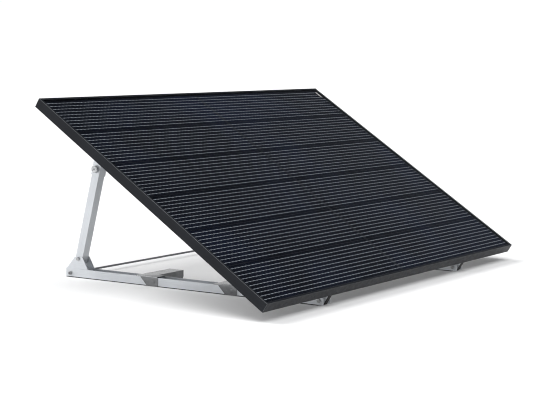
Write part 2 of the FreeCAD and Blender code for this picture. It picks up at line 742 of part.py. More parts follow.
def make_hinge():
    """The bolts and spacers on which the upper rails turn between the base rails' walls."""
    bolts = new_body("hinge_bolts")
    spacers = new_body("hinge_spacers")
    near = "rail_x - base_rail_width / 2"
    for _, sign in SIDES:
        cross_bolt(bolts, sign, "hinge_y", "hinge_height", "rail_x + base_rail_width / 2",
                   f"{near} - nut_height - bolt_overrun", near)
        for start, end in (("rail_x + upper_rail_width / 2 + play", "rail_x + base_rail_inner"),
                           ("rail_x - base_rail_inner", "rail_x - upper_rail_width / 2 - play")):
            pad(spacers, "x", *outward(sign, start, end),
                [("hinge_y", "hinge_height", "hinge_spacer_radius"),
                 ("hinge_y", "hinge_height", "bolt_radius + running_fit")])


def make_struts():
    """The telescopic struts with their pivots and clamp knobs."""
    feet = new_body("strut_foot_bolts")
    for side, sign in SIDES:
        centre = f"{sign} * rail_x"
        cross_bolt(feet, sign, "foot_y", "foot_height", "rail_x + foot_half",
                   "rail_x - foot_half - nut_height - bolt_overrun", "rail_x - foot_half")

        tube = strut_body(f"strut_tube_{side}")
        tube_half = ("tube_width / 2", "tube_depth / 2")
        pad(tube, "z", "-tube_foot_end", "tube_foot_end + tube_length",
            [centred_outline(centre, "0", *tube_half),
             centred_outline(centre, "0", *(f"{half} - tube_wall" for half in tube_half))])
        cut(tube, "x", f"{centre} - tube_width / 2", "tube_width", [("0", "0", "bolt_radius + running_fit")])

        sleeve = strut_body(f"strut_sleeve_{side}")
        pad(sleeve, "z", "sleeve_start", "sleeve_end - sleeve_start",
            [centred_outline(centre, "0", "sleeve_outer_x", "sleeve_outer_y"),
             centred_outline(centre, "0", "sleeve_inner_x", "sleeve_inner_y")])
        cut(sleeve, "y", "-sleeve_outer_y", "2 * sleeve_outer_y",
            [box_outline(f"{centre} - sleeve_inner_x", f"{centre} + sleeve_inner_x",
                         "strut_length - sleeve_fork", "sleeve_end")])
        cut(sleeve, "x", f"{centre} - sleeve_outer_x", "2 * sleeve_outer_x",
            [("0", "strut_length", "bolt_radius + running_fit")])
        cut(sleeve, "x", *outward(sign, "rail_x + sleeve_inner_x", "rail_x + sleeve_outer_x"),
            [("0", "clamp_height", "clamp_boss_radius")])
        top = number("sleeve_end")
        round_edges(sleeve, "sleeve_round",
                    lambda one, two: all(abs(end.z - top) < 0.01 for end in (one, two))
                    and abs(one.y - two.y) < 0.01)

        bolt = strut_body(f"strut_top_bolt_{side}")
        cross_bolt(bolt, sign, "0", "strut_length", "rail_x + sleeve_outer_x",
                   "rail_x - sleeve_outer_x - nut_height - bolt_overrun", "rail_x - sleeve_outer_x")
        spacer = strut_body(f"strut_top_spacers_{side}")
        for start, end in (("rail_x + upper_rail_width / 2 + play", "rail_x + sleeve_inner_x"),
                           ("rail_x - sleeve_inner_x", "rail_x - upper_rail_width / 2 - play")):
            pad(spacer, "x", *outward(sign, start, end),
                [("0", "strut_length", "top_spacer_radius"),
                 ("0", "strut_length", "bolt_radius + running_fit")])

        boss = strut_body(f"clamp_boss_{side}")
        pad(boss, "x", *outward(sign, "rail_x + sleeve_inner_x", "rail_x + clamp_face"),
            [("0", "clamp_height", "clamp_boss_radius"),
             ("0", "clamp_height", "bolt_radius + running_fit")])
        knob = strut_body(f"clamp_knob_{side}")
        knob_face = "rail_x + clamp_face + play"
        pad(knob, "x", *outward(sign, knob_face, f"{knob_face} + knob_thickness"),
            [("0", "clamp_height", "knob_radius")])
        pad(knob, "x", *outward(sign, "rail_x + sleeve_inner_x", knob_face),
            [("0", "clamp_height", "bolt_radius")])
        scallops = int(number("knob_scallops"))
        cut(knob, "x", *outward(sign, knob_face, f"{knob_face} + knob_thickness"),
            [(f"knob_scallop_circle * cos({360 * turn / scallops})",
              f"clamp_height + knob_scallop_circle * sin({360 * turn / scallops})",
              "knob_scallop_radius") for turn in range(scallops)])


def check_and_write():
    """Stop on any failed object, empty shape or cut that missed, then write the files."""
    doc.recompute()
    for item in doc.Objects:
        if {"Invalid", "Error"} & set(item.State):
            raise RuntimeError(f"{item.Label} failed: {item.State}")
    for base, feature in CUTS:
        if feature.Shape.Volume >= base.Shape.Volume:
            raise RuntimeError(f"{feature.Name} cut nothing")
    for node in NODES:
        if node.Shape.isNull() or not node.Shape.isValid() or not node.Shape.Solids:
            raise RuntimeError(f"{node.Label} has no valid solid")
    os.makedirs("parts", exist_ok=True)
    for node in NODES:
        node.Shape.exportStep(f"parts/{node.Label}.step")
        print(f"{node.Label}: {len(node.Shape.Solids)} solid(s)")


make_frame()
make_laminate()
make_junction_boxes()
make_upper_rails()
make_base_rails()
make_feet()
make_ballast_brackets()
make_hinge()
make_struts()
check_and_write()
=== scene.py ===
"""Looks of the framed solar module on its tilted ground stand, in metres."""
import json
import math
from mathutils import Matrix, Vector
import bmesh
import bpy


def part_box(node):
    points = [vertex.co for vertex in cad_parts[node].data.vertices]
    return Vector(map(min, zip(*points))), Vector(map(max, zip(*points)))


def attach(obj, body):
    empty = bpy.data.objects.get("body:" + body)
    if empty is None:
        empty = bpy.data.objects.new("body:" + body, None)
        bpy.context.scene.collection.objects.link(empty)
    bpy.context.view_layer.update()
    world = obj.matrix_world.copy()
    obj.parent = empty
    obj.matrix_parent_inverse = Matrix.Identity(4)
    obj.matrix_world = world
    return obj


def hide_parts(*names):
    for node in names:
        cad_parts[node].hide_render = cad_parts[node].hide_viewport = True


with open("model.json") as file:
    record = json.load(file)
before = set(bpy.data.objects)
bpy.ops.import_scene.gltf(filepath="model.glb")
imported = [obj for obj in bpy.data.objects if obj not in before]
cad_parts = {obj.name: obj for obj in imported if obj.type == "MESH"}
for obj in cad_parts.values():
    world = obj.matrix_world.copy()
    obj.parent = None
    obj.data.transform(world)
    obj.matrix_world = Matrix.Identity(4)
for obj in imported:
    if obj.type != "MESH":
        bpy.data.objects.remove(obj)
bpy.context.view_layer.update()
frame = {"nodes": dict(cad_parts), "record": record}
nodes = frame["nodes"]
body_of = {node: body for body, held in frame["record"]["behaviour"]["bodies"].items() for node in held}
slot_of = {part["node"]: part["material_slot"] for part in frame["record"]["subparts"]}
joint_at = {joint["name"]: joint for joint in frame["record"]["behaviour"]["joints"]}
scene = bpy.context.scene
MM = 0.001
SIDES = {"left": -1, "right": 1}
SAME_PLACE = 1e-5
WELD_DISTANCE = 1e-6
FLAT_ANGLE = math.radians(0.5)
SMOOTH_ANGLE = math.radians(35)
BEVEL_ANGLE = math.radians(30)

# sizes of the drawn details, and shares that tell heads from shanks
FINGER_PITCH = 1.4 * MM
FINGER_SHARE = 0.035
PADS_PER_CELL = 5
PAD_LENGTH = 6.0 * MM
PAD_WIDTH = 2.7 * MM
PAD_HEIGHT = 0.12 * MM
PAD_TAPER = 0.85
M8_RADIUS = 4 * MM
THREAD_PITCH = 1.25 * MM
THREAD_GAP = 0.3 * MM
THREAD_DEPTH_SHARE = 0.6
HEX_FACE_SHARE = 0.95
HEX_CORNER_SHARE = 0.985
HEAD_SHARE = 0.8
NUT_SHARE = 0.98
CORNER_SHARE = 0.995
LOW_HEAD = 2 * MM
GLAND_BORE = 3.1 * MM
GLAND_LIP = 4.1 * MM
RIVET_SHANK = 3 * MM
RIVET_HEAD = 2.2 * MM
RIVET_SEAT = 2.5 * MM
FOLD_RADIUS = 2.2 * MM
KNOB_THICKNESS = 8 * MM
SCALLOPS = 8
SCALLOP_CIRCLE = 15.4 * MM
SCALLOP_RADIUS = 2.6 * MM

# looks shared by several finishes
BRIGHTEST = 0.95
PLASTIC = (0.006, 0.006, 0.0065)
GLASS_TINT = (0.965, 0.978, 0.995, 1)
COATED = 0.6
FLOOR_SIZE = 30
FLOOR_GLOW = 0.02


# ---------------------------------------------------------------- directions
def largest_normal(node):
    """Upward normal of a node's largest face."""
    face = max(nodes[node].data.polygons, key=lambda polygon: polygon.area)
    return face.normal.copy() if face.normal.z > 0 else -face.normal


ACROSS = Vector((1, 0, 0))
NORMAL = largest_normal("front_glass")
SLOPE = NORMAL.cross(ACROSS)
STRUT = Vector(joint_at["strut_slide_left"]["axis"]).normalized()
DEPTH = Vector((0, 1, 0))
PANEL_SPACE = Matrix((ACROSS, SLOPE, NORMAL)).transposed()
STRUT_SPACE = Matrix((ACROSS, STRUT.cross(ACROSS), STRUT)).transposed()
LEVEL = Matrix.Identity(3)


def box_in(node, space):
    """Corners of a node's box in a turned frame."""
    points = [space.transposed() @ vertex.co for vertex in nodes[node].data.vertices]
    return (Vector([min(point[i] for point in points) for i in range(3)]),
            Vector([max(point[i] for point in points) for i in range(3)]))


# ---------------------------------------------------------------- materials
class Finish:
    """A procedural material; textures run in object space, turned so X follows an axis."""

    def __init__(self, name, colour, metallic=0.0, roughness=0.5, specular=0.5, space=LEVEL):
        self.material = bpy.data.materials.new(name)
        self.material.use_nodes = True
        self.tree = self.material.node_tree
        self.shader = next(item for item in self.tree.nodes if item.type == "BSDF_PRINCIPLED")
        self.shader.inputs["Base Color"].default_value = (*colour, 1)
        self.shader.inputs["Metallic"].default_value = metallic
        self.shader.inputs["Roughness"].default_value = roughness
        self.shader.inputs["Specular IOR Level"].default_value = specular
        self.normal = None
        coordinates = self.add("ShaderNodeTexCoord").outputs["Object"]
        turned = self.add("ShaderNodeMapping", {"Vector": coordinates})
        turned.inputs["Rotation"].default_value = space.transposed().to_euler()
        self.place = turned.outputs["Vector"]

    def add(self, kind, inputs=None, **settings):
        item = self.tree.nodes.new(kind)
        for key, value in settings.items():
            setattr(item, key, value)
        for key, value in (inputs or {}).items():
            if isinstance(value, bpy.types.NodeSocket):
                self.tree.links.new(value, item.inputs[key])
            else:
                item.inputs[key].default_value = value
        return item

    def stretched(self, scale):
        return self.add("ShaderNodeMapping", {"Vector": self.place, "Scale": scale}).outputs["Vector"]

    def noise(self, scale, stretch=(1, 1, 1), detail=4.0, roughness=0.55):
        return self.add("ShaderNodeTexNoise", {"Vector": self.stretched(stretch), "Scale": scale,
                                               "Detail": detail, "Roughness": roughness}).outputs["Fac"]

    def voronoi(self, scale, output="Distance", stretch=(1, 1, 1)):
        cells = self.add("ShaderNodeTexVoronoi", {"Vector": self.stretched(stretch), "Scale": scale})
        return cells.outputs[output]

    def grey(self, colour):
        return self.add("ShaderNodeRGBToBW", {"Color": colour}).outputs["Val"]

    def span(self, value, low, high, start=0.3, end=0.7):
        return self.add("ShaderNodeMapRange", {"Value": value, "From Min": start, "From Max": end,
                                               "To Min": low, "To Max": high}).outputs["Result"]

    def calc(self, operation, *values):
        return self.add("ShaderNodeMath", dict(enumerate(values)), operation=operation).outputs["Value"]

    def coordinate(self, axis):
        return self.add("ShaderNodeSeparateXYZ", {"Vector": self.place}).outputs[axis]

    def mix(self, factor, one, two):
        item = self.add("ShaderNodeMix", data_type="RGBA")
        for key, value in ((0, factor), (6, one), (7, two)):
            if isinstance(value, bpy.types.NodeSocket):
                self.tree.links.new(value, item.inputs[key])
            else:
                item.inputs[key].default_value = (*value, 1) if key else value
        return item.outputs[2]

    def colour(self, socket):
        self.tree.links.new(socket, self.shader.inputs["Base Color"])
        return self

    def rough(self, socket):
        self.tree.links.new(socket, self.shader.inputs["Roughness"])
        return self

    def bump(self, height, distance, strength=1.0):
        inputs = {"Height": height, "Distance": distance, "Strength": strength}
        if self.normal:
            inputs["Normal"] = self.normal
        self.normal = self.add("ShaderNodeBump", inputs).outputs["Normal"]
        self.tree.links.new(self.normal, self.shader.inputs["Normal"])
        return self


def lighter(tone, factor, lift=0.0):
    return [min(BRIGHTEST, channel * factor + lift) for channel in tone]


def anodised(worn_and_highlit):
    """Black anodised extrusion: cloudy dye, fine grain; its edges are rubbed to a dark grey, lightened
    further as a painted edge highlight.
    """
    # edge tone: rubbed wear plus a painted highlight along the rounded edges
    tone = (0.11, 0.117, 0.124) if worn_and_highlit else (0.0080, 0.0090, 0.0115)
    made = Finish("black_anodised", tone, 0.0, 0.4, 0.15, PANEL_SPACE)
    made.colour(made.mix(made.span(made.noise(6, detail=5), 0, 1), tone, lighter(tone, 1.5)))
    made.rough(made.span(made.noise(90), 0.34, 0.5))
    made.bump(made.noise(1400, (1, 1, 1), 2), 0.00004, 0.35)
    return made.material


def extrusion(worn_and_highlit, name="mill_aluminium", space=LEVEL, along=1):
    """Mill-finish aluminium: die lines along one axis, oxide clouds, small scuffs; edges rubbed and lighter
    as a painted highlight.
    """
    # lighter edge tone: rubbed wear plus a painted highlight
    tone = (0.82, 0.84, 0.86) if worn_and_highlit else (0.73, 0.755, 0.785)
    stretch = [1, 1, 1]
    stretch[along] = 0.012
    made = Finish(name, tone, 0.6, 0.35, 0.5, space)
    lines = made.noise(900, stretch, 3, 0.6)
    clouded = made.mix(made.span(made.noise(9, detail=6), 0, 1), tone, lighter(tone, 0.86))
    made.colour(made.mix(made.span(lines, 0, 0.35), clouded, lighter(tone, 0.7)))
    scuffs = made.span(made.noise(160, (1, 1, 1), 5), 0, 0.1, 0.6, 0.75)
    made.rough(made.calc("ADD", made.span(lines, 0.3, 0.46), scuffs))
    made.bump(lines, 0.00005, 0.5)
    return made.material


def galvanised(worn_and_highlit):
    """Hot-dip galvanised sheet: crystals of different tone and gloss, dull patches; edges rubbed and lighter
    as a painted highlight.
    """
    # lighter edge tone: rubbed wear plus a painted highlight
    tone = (0.40, 0.41, 0.42) if worn_and_highlit else (0.20, 0.204, 0.21)
    made = Finish("galvanised_steel", tone, 0.6, 0.25, 0.5)
    crystals = made.grey(made.voronoi(70, "Color"))
    spangle = made.mix(made.span(crystals, 0, 1, 0.15, 0.85), lighter(tone, 0.88), lighter(tone, 1.14))
    made.colour(made.mix(made.span(made.noise(14, detail=5), 0, 0.5), spangle, tone))
    made.rough(made.span(crystals, 0.12, 0.22, 0.1, 0.9))
    made.bump(made.noise(60, detail=3), 0.00005, 0.3)
    return made.material


def machined(worn_and_highlit, name, tone, low, high):
    """Turned or rolled metal: tight tool marks and a slightly uneven gloss; edges rubbed and lighter as a
    painted highlight.
    """
    # lighter edge tone: rubbed wear plus a painted highlight
    tone = lighter(tone, 1.25) if worn_and_highlit else tone
    made = Finish(name, tone, 1.0, low, 0.5)
    marks = made.noise(700, (1, 1, 1), 3)
    made.colour(made.mix(made.span(made.noise(60, detail=4), 0, 1), tone, lighter(tone, 0.8)))
    made.rough(made.span(marks, low, high))
    made.bump(marks, 0.00003, 0.4)
    return made.material


def moulded(worn_and_highlit, name, tone, low, high, grain=1500, depth=0.00005):
    """Moulded plastic or rubber: spark-eroded grain and faint flow clouds; edges rubbed and lighter as a
    painted highlight.
    """
    # lighter edge tone: rubbed wear plus a painted highlight
    tone = lighter(tone, 1.8, 0.004) if worn_and_highlit else tone
    made = Finish(name, tone, 0.0, low, 0.25)
    cloud = made.noise(25, detail=4)
    made.colour(made.mix(made.span(cloud, 0, 1), tone, lighter(tone, 1.6, 0.001)))
    made.rough(made.span(cloud, low, high))
    made.bump(made.voronoi(grain), depth, 0.6)
    return made.material


def wafer():
    """Blue-black silicon: printed fingers, one tone per cell, bluer patches over the module as a painted
    reflection.
    """
    made = Finish("silicon", (0.006, 0.009, 0.02), 0.0, 0.4, 0.04, PANEL_SPACE)
    # bluer patches spread over the module: a painted reflection
    reflection_patches = made.noise(2.2, detail=2)
    tone = made.mix(made.span(reflection_patches, 0, 1, 0.46, 0.68), (0.0020, 0.0024, 0.0042), (0.0050, 0.0080, 0.020))
    cell = made.grey(made.voronoi(11, "Color", (1, 0.5, 0)))
    tone = made.mix(made.span(cell, 0, 0.4, 0.2, 0.8), tone, (0.0045, 0.0065, 0.0125))
    across_finger = made.calc("FRACT", made.calc("MULTIPLY", made.coordinate("X"), 1 / FINGER_PITCH))
    finger = made.calc("LESS_THAN", across_finger, FINGER_SHARE)
    made.colour(made.mix(made.calc("MULTIPLY", finger, 0.4), tone, (0.3, 0.31, 0.33)))
    made.rough(made.span(made.noise(500), 0.35, 0.48))
    made.bump(finger, 0.00002, 0.5)
    return made.material


def tinned(name, tone):
    """Solder-dipped copper ribbon: slightly lumpy."""
    made = Finish(name, tone, 0.3, 0.38, 0.6, PANEL_SPACE)
    lumps = made.noise(900, (0.25, 1, 1), 3)
    made.colour(made.mix(made.span(lumps, 0, 1), tone, lighter(tone, 0.85)))
    made.rough(made.span(lumps, 0.28, 0.5))
    made.bump(lumps, 0.00006, 0.5)
    return made.material


def clear(name, gloss_ior, roughness, relief):
    """Clear coated sheet: what is under it shows through, under a weakened Fresnel reflection."""
    made = Finish(name, (0.9, 0.93, 1.0), 1.0, roughness, 0.5, PANEL_SPACE)
    made.bump(made.voronoi(700), 0.00002, relief)
    made.rough(made.span(made.noise(5), roughness, roughness + 0.05))
    through = made.add("ShaderNodeBsdfTransparent", {"Color": GLASS_TINT}).outputs["BSDF"]
    angle = made.calc("MULTIPLY", made.add("ShaderNodeFresnel", {"IOR": gloss_ior}).outputs["Fac"], COATED)
    joined = made.add("ShaderNodeMixShader", {0: angle, 1: through, 2: made.shader.outputs["BSDF"]})
    output = next(item for item in made.tree.nodes if item.type == "OUTPUT_MATERIAL")
    made.tree.links.new(joined.outputs["Shader"], output.inputs["Surface"])
    return made.material


def film():
    """Black backsheet film: slightly wavy over the cells, fine matte texture."""
    made = Finish("backsheet_film", (0.012, 0.012, 0.013), 0.0, 0.5, 0.4, PANEL_SPACE)
    clouds = made.span(made.noise(4, detail=5), 0, 1)
    made.colour(made.mix(clouds, (0.010, 0.010, 0.011), (0.019, 0.019, 0.021)))
    made.rough(made.span(made.noise(60), 0.42, 0.6))
    made.bump(made.noise(14, (1, 1, 1), 3), 0.0004, 0.35)
    made.bump(made.voronoi(1200), 0.00003, 0.5)
    return made.material


def with_worn_highlit_edge(builder, *facts):
    """A finish and the same finish where edges rub it, made lighter as a painted edge highlight."""
    return builder(False, *facts), builder(True, *facts)


finishes = {
    "black_anodised": with_worn_highlit_edge(anodised),
    "mill_aluminium": with_worn_highlit_edge(extrusion),
    "cover_glass": (clear("cover_glass", 1.28, 0.06, 0.03),),
    "encapsulant": (clear("encapsulant", 1.02, 0.2, 0.03),),
    "silicon": (wafer(),),
    "tinned_copper": (tinned("tinned_copper", (0.72, 0.725, 0.74)),),
    "black_ribbon": (tinned("black_ribbon", (0.012, 0.012, 0.014)),),
    "backsheet_film": (film(),),
    "silicone_seal": with_worn_highlit_edge(moulded, "silicone_seal", (0.012, 0.012, 0.012), 0.35, 0.5, 500),
    "black_plastic": with_worn_highlit_edge(moulded, "black_plastic", PLASTIC, 0.42, 0.58),
    "brass_terminal": with_worn_highlit_edge(machined, "brass_terminal", (0.72, 0.55, 0.25), 0.25, 0.4),
    "white_label": with_worn_highlit_edge(moulded, "white_label", (0.42, 0.42, 0.42), 0.45, 0.6, 2500, 0.00002),
    "galvanised_steel": with_worn_highlit_edge(galvanised),
    "stainless_steel": with_worn_highlit_edge(machined, "stainless_steel", (0.44, 0.445, 0.45), 0.22, 0.38),
    "dark_steel": with_worn_highlit_edge(machined, "dark_steel", (0.26, 0.26, 0.27), 0.35, 0.55),
    "ground_rubber": with_worn_highlit_edge(moulded, "ground_rubber", (0.014, 0.014, 0.014), 0.7, 0.85, 900, 0.0001),
    "nylon": with_worn_highlit_edge(moulded, "nylon", (0.05, 0.05, 0.052), 0.4, 0.55, 1800, 0.00003),
    "knob_aluminium": with_worn_highlit_edge(machined, "knob_aluminium", (0.52, 0.53, 0.54), 0.24, 0.4),
}
sloped = with_worn_highlit_edge(extrusion, "mill_aluminium_sloped", PANEL_SPACE, 1)
upright = with_worn_highlit_edge(extrusion, "mill_aluminium_strut", STRUT_SPACE, 2)
solder = (tinned("solder", (0.95, 0.95, 0.95)),)


# ---------------------------------------------------------------- mesh tools
def welded(node):
    """A node's mesh as bmesh, with doubled points joined and flat facets merged."""
    mesh = bmesh.new()
    mesh.from_mesh(nodes[node].data)
    bmesh.ops.remove_doubles(mesh, verts=mesh.verts, dist=WELD_DISTANCE)
    bmesh.ops.dissolve_limit(mesh, angle_limit=FLAT_ANGLE, verts=mesh.verts, edges=mesh.edges)
    return mesh


def shells(node):
    """The separate solids of a node, each as a list of points."""
    mesh = bmesh.new()
    mesh.from_mesh(nodes[node].data)
    bmesh.ops.remove_doubles(mesh, verts=mesh.verts, dist=WELD_DISTANCE)
    left, found = set(mesh.verts), []
    while left:
        stack, shell = [left.pop()], []
        while stack:
            vertex = stack.pop()
            shell.append(vertex.co.copy())
            for edge in vertex.link_edges:
                other = edge.other_vert(vertex)
                if other in left:
                    left.remove(other)
                    stack.append(other)
        found.append(shell)
    mesh.free()
    return sorted(found, key=lambda shell: tuple(round(value, 5) for value in shell_centre(shell)))


def shell_centre(shell):
    return [(min(point[i] for point in shell) + max(point[i] for point in shell)) / 2 for i in range(3)]


def finish_piece(name, mesh, finish, body, stands_for):
    """Turns a bmesh into a shown piece that rides on a body."""
    data = bpy.data.meshes.new(name)
    bmesh.ops.recalc_face_normals(mesh, faces=mesh.faces)
    mesh.to_mesh(data)
    mesh.free()
    data.shade_smooth()
    data.set_sharp_from_angle(angle=SMOOTH_ANGLE)
    for material in finish:
        data.materials.append(material)
    piece = bpy.data.objects.new(name, data)
    scene.collection.objects.link(piece)
    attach(piece, body)
    if stands_for:
        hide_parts(*stands_for)
    return piece


def soften(piece, width, segments):
    """Rounds a piece's edges; the rounding takes the last material, the worn one with its painted edge
    highlight where there is one.
    """
    bevel = piece.modifiers.new("rounded_edges", "BEVEL")
    bevel.width = width
    bevel.segments = segments
    bevel.limit_method = "ANGLE"
    bevel.angle_limit = BEVEL_ANGLE
    bevel.harden_normals = True
    bevel.use_clamp_overlap = True
    bevel.material = len(piece.data.materials) - 1
    return piece


def rounded_copy(node, width, finish=None, shape=None, segments=2):
    """A node's shape with its edges rounded, standing for the node."""
    mesh = welded(node)
    if shape:
        shape(mesh)
    piece = finish_piece(f"{node}_detail", mesh, finish or finishes[slot_of[node]], body_of[node],
                         [node])
    return soften(piece, width, segments)


def repaint(node, finish):
    """A better material in the slots of a node that is shown as it is."""
    data = nodes[node].data
    data.materials.clear()
    data.materials.append(finish[0])


def side_of(axis):
    """A direction square to an axis; along Y where the axis lies across the module."""
    return DEPTH if abs(axis.x) > 0.9 else axis.orthogonal().normalized()


def lathe(mesh, spot, axis, profile, sides=48, closed=False):
    """Sweeps (distance, radius) rings round an axis; a ring may be a function of the angle."""
    side = side_of(axis)
    other = axis.cross(side)
    rings = []
    for ring in profile:
        points = []
        for step in range(sides):
            turn = 2 * math.pi * step / sides
            far, out = (ring(turn) if callable(ring) else ring)
            points.append(spot + axis * far + (side * math.cos(turn) + other * math.sin(turn)) * out)
        if not callable(ring) and ring[1] == 0:
            rings.append([mesh.verts.new(points[0])])
        else:
            rings.append([mesh.verts.new(point) for point in points])
    pairs = list(zip(rings, rings[1:]))
    if closed:
        pairs.append((rings[-1], rings[0]))
    for low, high in pairs:
        for step in range(sides):
            after = (step + 1) % sides
            if len(low) == 1:
                mesh.faces.new((low[0], high[after], high[step]))
            elif len(high) == 1:
                mesh.faces.new((low[step], low[after], high[0]))
            else:
                mesh.faces.new((low[step], low[after], high[after], high[step]))


def hexagonal(across_corners, base, top, phase):
    """Ring of a hexagon's outline at the top end, drawn back by its 30 degree chamfer, or plain at base."""
    flat = across_corners / 2 * math.cos(math.pi / 6)
    face = flat * HEX_FACE_SHARE

    def ring(turn):
        within = (turn + phase) % (math.pi / 3) - math.pi / 6
        out = min(flat / math.cos(within), across_corners / 2 * HEX_CORNER_SHARE)
        drawn = (out - face) * math.tan(math.pi / 6)
        if top is None:
            return base, out
        return top - math.copysign(drawn, top - base), out
    return ring


def threaded(mesh, spot, axis, start, end, radius, steps=16):
    """A screw thread between two distances, with a chamfered tip at the end."""
    side = axis.orthogonal().normalized()
    other = axis.cross(side)
    depth = THREAD_DEPTH_SHARE * THREAD_PITCH
    turns = int((end - start) / THREAD_PITCH)
    rows = ((0.0, radius), (0.2, radius), (0.6, radius - depth))
    grid = []
    for step in range(turns * steps + 1):
        angle = 2 * math.pi * step / steps
        direction = side * math.cos(angle) + other * math.sin(angle)
        grid.append([mesh.verts.new(spot + direction * out
                                    + axis * min(end, start + THREAD_PITCH * (step / steps + share)))
                     for share, out in rows])
    for step in range(turns * steps):
        one, two = grid[step], grid[step + 1]
        for row in range(len(rows) - 1):
            mesh.faces.new((one[row], two[row], two[row + 1], one[row + 1]))
        if step + steps + 1 < len(grid):
            later, latest = grid[step + steps], grid[step + steps + 1]
            mesh.faces.new((one[-1], two[-1], latest[0], later[0]))
    core = radius - depth
    lathe(mesh, spot, axis, [(start, 0), (start, core), (end, core), (end + 0.4 * depth, 0)], 24)


def fasteners(node, axis):
    """Chamfered or domed heads, nuts and threaded shanks in place of a node's plain bolts and nuts."""
    mesh = bmesh.new()
    for shell in shells(node):
        middle = Vector(shell_centre(shell))
        offsets = [(point - middle).dot(axis) for point in shell]
        outs = [((point - middle) - axis * offset).length for point, offset in zip(shell, offsets)]
        corner, inner = max(outs), min(outs)
        low, high = min(offsets), max(offsets)
        wide = [offset for offset, out in zip(offsets, outs) if out > HEAD_SHARE * corner]
        wide_low, wide_high = min(wide), max(wide)
        phase = hexagon_phase(shell, middle, axis, corner)
        face = corner * math.cos(math.pi / 6) * HEX_FACE_SHARE
        if wide_high - wide_low > NUT_SHARE * (high - low):
            lathe(mesh, middle, axis,
                  [(low, inner + 0.4 * MM), (low, face), hexagonal(2 * corner, high, low, phase),
                   hexagonal(2 * corner, low, high, phase), (high, face), (high, inner + 0.4 * MM),
                   (high - 0.5 * MM, inner), (low + 0.5 * MM, inner)], closed=True)
            continue
        heading = 1 if abs(wide_low - low) < abs(high - wide_high) else -1
        along = axis * heading
        start, seat = (wide_low, wide_high) if heading == 1 else (-wide_high, -wide_low)
        tip = high if heading == 1 else -low
        if seat - start < LOW_HEAD:
            dome = [(start + (seat - start) * (0.65 - 0.65 * math.cos(turn)), corner * math.sin(turn))
                    for turn in (0.35, 0.7, 1.0, 1.25, 1.45)]
            lathe(mesh, middle, along, [(start, 0), *dome, (seat, corner), (seat, 0)])
            threaded(mesh, middle, along, seat, tip - THREAD_GAP, M8_RADIUS)
            continue
        turned = phase * heading
        lathe(mesh, middle, along,
              [(start + 0.35 * MM, 0), (start + 0.35 * MM, face * 0.7), (start, face * 0.78), (start, face),
               hexagonal(2 * corner, seat, start, turned),
               hexagonal(2 * corner, seat - 0.3 * MM, None, turned),
               (seat - 0.3 * MM, face), (seat, face), (seat, 0)])
        threaded(mesh, middle, along, seat, tip - THREAD_GAP, inner_radius(outs, offsets, heading, seat))
    return finish_piece(f"{node}_detail", mesh, finishes[slot_of[node]], body_of[node], [node])


def inner_radius(outs, offsets, heading, seat):
    """Radius of a bolt's shank, from the points beyond its head."""
    return max(out for out, offset in zip(outs, offsets) if offset * heading > seat + 0.1 * MM)


def hexagon_phase(shell, middle, axis, corner):
    """Angle of a hexagon's first corner about an axis."""
    side = side_of(axis)
    other = axis.cross(side)
    for point in shell:
        spoke = point - middle
        spoke -= axis * spoke.dot(axis)
        if spoke.length > CORNER_SHARE * corner:
            return -math.atan2(spoke.dot(other), spoke.dot(side))
    return 0.0


# ---------------------------------------------------------------- module
for node in ("frame_lower", "frame_upper", "frame_left", "frame_right"):
    rounded_copy(node, 1.0 * MM)
for node in ("front_glass", "front_encapsulant", "rear_encapsulant", "solar_cells", "cell_ribbons",
             "string_busbars", "backsheet", "frame_sealant", "plain_label", "junction_terminals",
             "bypass_diodes"):
    repaint(node, finishes[slot_of[node]])
for node in ("corner_keys", "rivet_nuts"):
    repaint(node, sloped)


def flattened(shell):
    """Points of a shell in the panel's own frame."""
    return [PANEL_SPACE.transposed() @ point for point in shell]


def solder_pads():
    """Small silver pads under each ribbon, spaced along every half cell."""
    flat_cells = [flattened(shell) for shell in shells("solar_cells")]
    cells = [(Vector([min(point[i] for point in shell) for i in range(3)]),
              Vector([max(point[i] for point in shell) for i in range(3)])) for shell in flat_cells]
    ribbons = sorted({round(shell_centre(flattened(shell))[1], 6) for shell in shells("cell_ribbons")})
    mesh = bmesh.new()
    for low, high in cells:
        for row in (value for value in ribbons if low.y < value < high.y):
            for step in range(PADS_PER_CELL):
                middle = low.x + (high.x - low.x) * (step + 0.5) / PADS_PER_CELL
                corners = [(sign_x * PAD_LENGTH / 2 + middle, sign_y * PAD_WIDTH / 2 + row)
                           for sign_x, sign_y in ((-1, -1), (1, -1), (1, 1), (-1, 1))]
                floor = [mesh.verts.new(PANEL_SPACE @ Vector((x, y, high.z))) for x, y in corners]
                roof = [mesh.verts.new(PANEL_SPACE @ Vector((middle + (x - middle) * PAD_TAPER,
                                                             row + (y - row) * PAD_TAPER,
                                                             high.z + PAD_HEIGHT))) for x, y in corners]
                mesh.faces.new(roof)
                mesh.faces.new(floor[::-1])
                for one in range(4):
                    two = (one + 1) % 4
                    mesh.faces.new((floor[one], floor[two], roof[two], roof[one]))
    return finish_piece("solder_pads", mesh, solder, "panel", [])


solder_pads()

for node in ("upper_rail_left", "upper_rail_right"):
    rounded_copy(node, 0.8 * MM, sloped)
rounded_copy("upper_rail_plugs", 0.7 * MM, segments=3)
fasteners("frame_bolts", NORMAL)
for name in ("lower", "middle", "upper"):
    rounded_copy(f"junction_box_{name}", 1.0 * MM, segments=3)
    rounded_copy(f"junction_lid_{name}", 0.7 * MM, segments=3)


